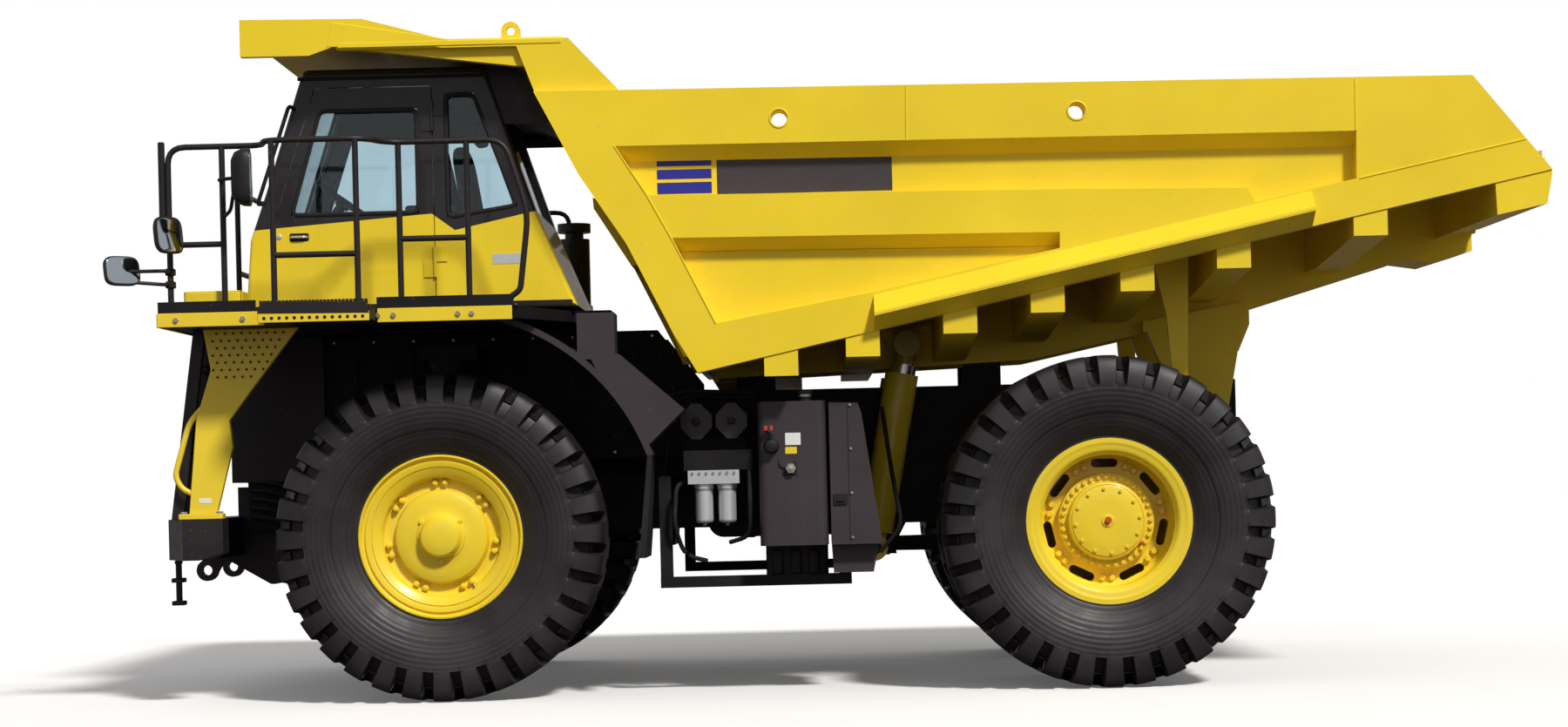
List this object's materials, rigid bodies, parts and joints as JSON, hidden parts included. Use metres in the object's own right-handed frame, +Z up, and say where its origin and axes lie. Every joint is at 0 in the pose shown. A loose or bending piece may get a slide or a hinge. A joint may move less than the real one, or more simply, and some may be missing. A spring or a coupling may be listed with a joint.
{
  "type": "rigid mining dump truck",
  "caption": "Rigid-frame mining haul truck with a hoist-tipped rock body, side cab, steered front wheels and twin rear wheels; tips its load to the rear.",
  "frame": {"origin": "on the ground under the middle of the truck", "axes": "+X forward, +Y to the truck's left, +Z up"},
  "size_m": [9.0735, 5.4, 4.392],
  "materials": {
    "yellow_paint": "semi-gloss",
    "black_paint": "satin",
    "tyre": "matte",
    "rubber": "matte",
    "glass": "clear",
    "steel_rod": "polished",
    "aluminium": "satin",
    "black_plastic": "matte"
  },
  "bodies": {
    "chassis": {"main_frame": "black_paint", "frame_crossmembers": "black_paint", "equipment_brackets": "black_paint", "front_lower_arms": "black_paint", "suspension_cylinders": "black_paint", "rear_axle": "black_paint", "powertrain": "black_paint", "front_bumper": "black_paint", "radiator_grille": "black_paint", "front_deck": "black_paint", "engine_hood": "yellow_paint", "front_fenders": "black_paint", "mud_flaps": "rubber", "handrails": "black_paint", "access_ladder": "yellow_paint", "mirrors": "black_paint", "headlamps": "aluminium", "cab_lower": "yellow_paint", "cab_upper": "black_paint", "cab_rear_guard": "black_paint", "cab_glass": "glass", "cab_interior": "black_plastic", "hydraulic_tank": "black_paint", "battery_box": "black_paint", "fuel_tank": "black_paint", "air_tanks": "black_paint", "filter_bank": "aluminium", "side_guards": "black_paint", "body_pads": "rubber"},
    "dump_body": {"body_floor": "yellow_paint", "body_side_left": "yellow_paint", "body_side_right": "yellow_paint", "body_front_wall": "yellow_paint", "body_canopy": "yellow_paint", "body_keels": "yellow_paint", "body_ribs": "yellow_paint", "spill_guards": "yellow_paint", "rock_ejectors": "yellow_paint"},
    "cab_door": {"cab_door": "yellow_paint", "door_glass": "glass"},
    "knuckle_left": {"knuckle_left": "black_paint"},
    "wheel_front_left": {"tyre_front_left": "tyre", "rim_front_left": "yellow_paint", "hub_front_left": "yellow_paint"},
    "wheels_rear_left": {"tyres_rear_left": "tyre", "rims_rear_left": "yellow_paint", "hub_rear_left": "yellow_paint"},
    "hoist_barrel_left": {"hoist_barrel_left": "yellow_paint"},
    "hoist_stage_left": {"hoist_stage_left": "steel_rod"},
    "hoist_rod_left": {"hoist_rod_left": "steel_rod"},
    "knuckle_right": {"knuckle_right": "black_paint"},
    "wheel_front_right": {"tyre_front_right": "tyre", "rim_front_right": "yellow_paint", "hub_front_right": "yellow_paint"},
    "wheels_rear_right": {"tyres_rear_right": "tyre", "rims_rear_right": "yellow_paint", "hub_rear_right": "yellow_paint"},
    "hoist_barrel_right": {"hoist_barrel_right": "yellow_paint"},
    "hoist_stage_right": {"hoist_stage_right": "steel_rod"},
    "hoist_rod_right": {"hoist_rod_right": "steel_rod"}
  },
  "joints": [
    {"name": "steer_left", "type": "hinge", "parent": "chassis", "child": "knuckle_left", "pos_m": [2.62, 1.25, 1.065], "axis": [0, 0, 1], "range_deg": [-39, 39]},
    {"name": "roll_front_left", "type": "hinge", "parent": "knuckle_left", "child": "wheel_front_left", "pos_m": [2.62, 1.757, 1.065], "axis": [0, 1, 0], "continuous": true},
    {"name": "roll_rear_left", "type": "hinge", "parent": "chassis", "child": "wheels_rear_left", "pos_m": [-1.68, 1.54, 1.065], "axis": [0, 1, 0], "continuous": true},
    {"name": "steer_right", "type": "hinge", "parent": "chassis", "child": "knuckle_right", "pos_m": [2.62, -1.25, 1.065], "axis": [0, 0, 1], "range_deg": [-39, 39]},
    {"name": "roll_front_right", "type": "hinge", "parent": "knuckle_right", "child": "wheel_front_right", "pos_m": [2.62, -1.757, 1.065], "axis": [0, 1, 0], "continuous": true},
    {"name": "roll_rear_right", "type": "hinge", "parent": "chassis", "child": "wheels_rear_right", "pos_m": [-1.68, -1.54, 1.065], "axis": [0, 1, 0], "continuous": true},
    {"name": "body_tip", "type": "hinge", "parent": "chassis", "child": "dump_body", "pos_m": [-2.53, 0, 1.8], "axis": [0, -1, 0], "range_deg": [0, 48]},
    {"name": "hoist_swing_left", "type": "hinge", "parent": "chassis", "child": "hoist_barrel_left", "pos_m": [-0.2, 0.64, 0.9], "axis": [0, -1, 0], "range_deg": [0, 14.03]},
    {"name": "hoist_stage_left", "type": "slide", "parent": "hoist_barrel_left", "child": "hoist_stage_left", "axis": [-0.1826, 0, 0.9832], "range_m": [0, 0.84025]},
    {"name": "hoist_rod_left", "type": "slide", "parent": "hoist_stage_left", "child": "hoist_rod_left", "axis": [-0.1826, 0, 0.9832], "range_m": [0, 0.84025]},
    {"name": "hoist_swing_right", "type": "hinge", "parent": "chassis", "child": "hoist_barrel_right", "pos_m": [-0.2, -0.64, 0.9], "axis": [0, -1, 0], "range_deg": [0, 14.03]},
    {"name": "hoist_stage_right", "type": "slide", "parent": "hoist_barrel_right", "child": "hoist_stage_right", "axis": [-0.1826, 0, 0.9832], "range_m": [0, 0.84025]},
    {"name": "hoist_rod_right", "type": "slide", "parent": "hoist_stage_right", "child": "hoist_rod_right", "axis": [-0.1826, 0, 0.9832], "range_m": [0, 0.84025]},
    {"name": "door_swing", "type": "hinge", "parent": "chassis", "child": "cab_door", "pos_m": [2.624, 1.872, 3], "axis": [0, 0, 1], "range_deg": [0, 45]}
  ],
  "couplings": [
    {"joint": "steer_right", "follows": "steer_left", "ratio": 1},
    {"joint": "hoist_swing_left", "follows": "body_tip", "ratio": 0.29132},
    {"joint": "hoist_stage_left", "follows": "body_tip", "m_per_rad": 1.0018},
    {"joint": "hoist_rod_left", "follows": "body_tip", "m_per_rad": 1.0018},
    {"joint": "hoist_swing_right", "follows": "body_tip", "ratio": 0.29132},
    {"joint": "hoist_stage_right", "follows": "body_tip", "m_per_rad": 1.0018},
    {"joint": "hoist_rod_right", "follows": "body_tip", "m_per_rad": 1.0018}
  ]
}
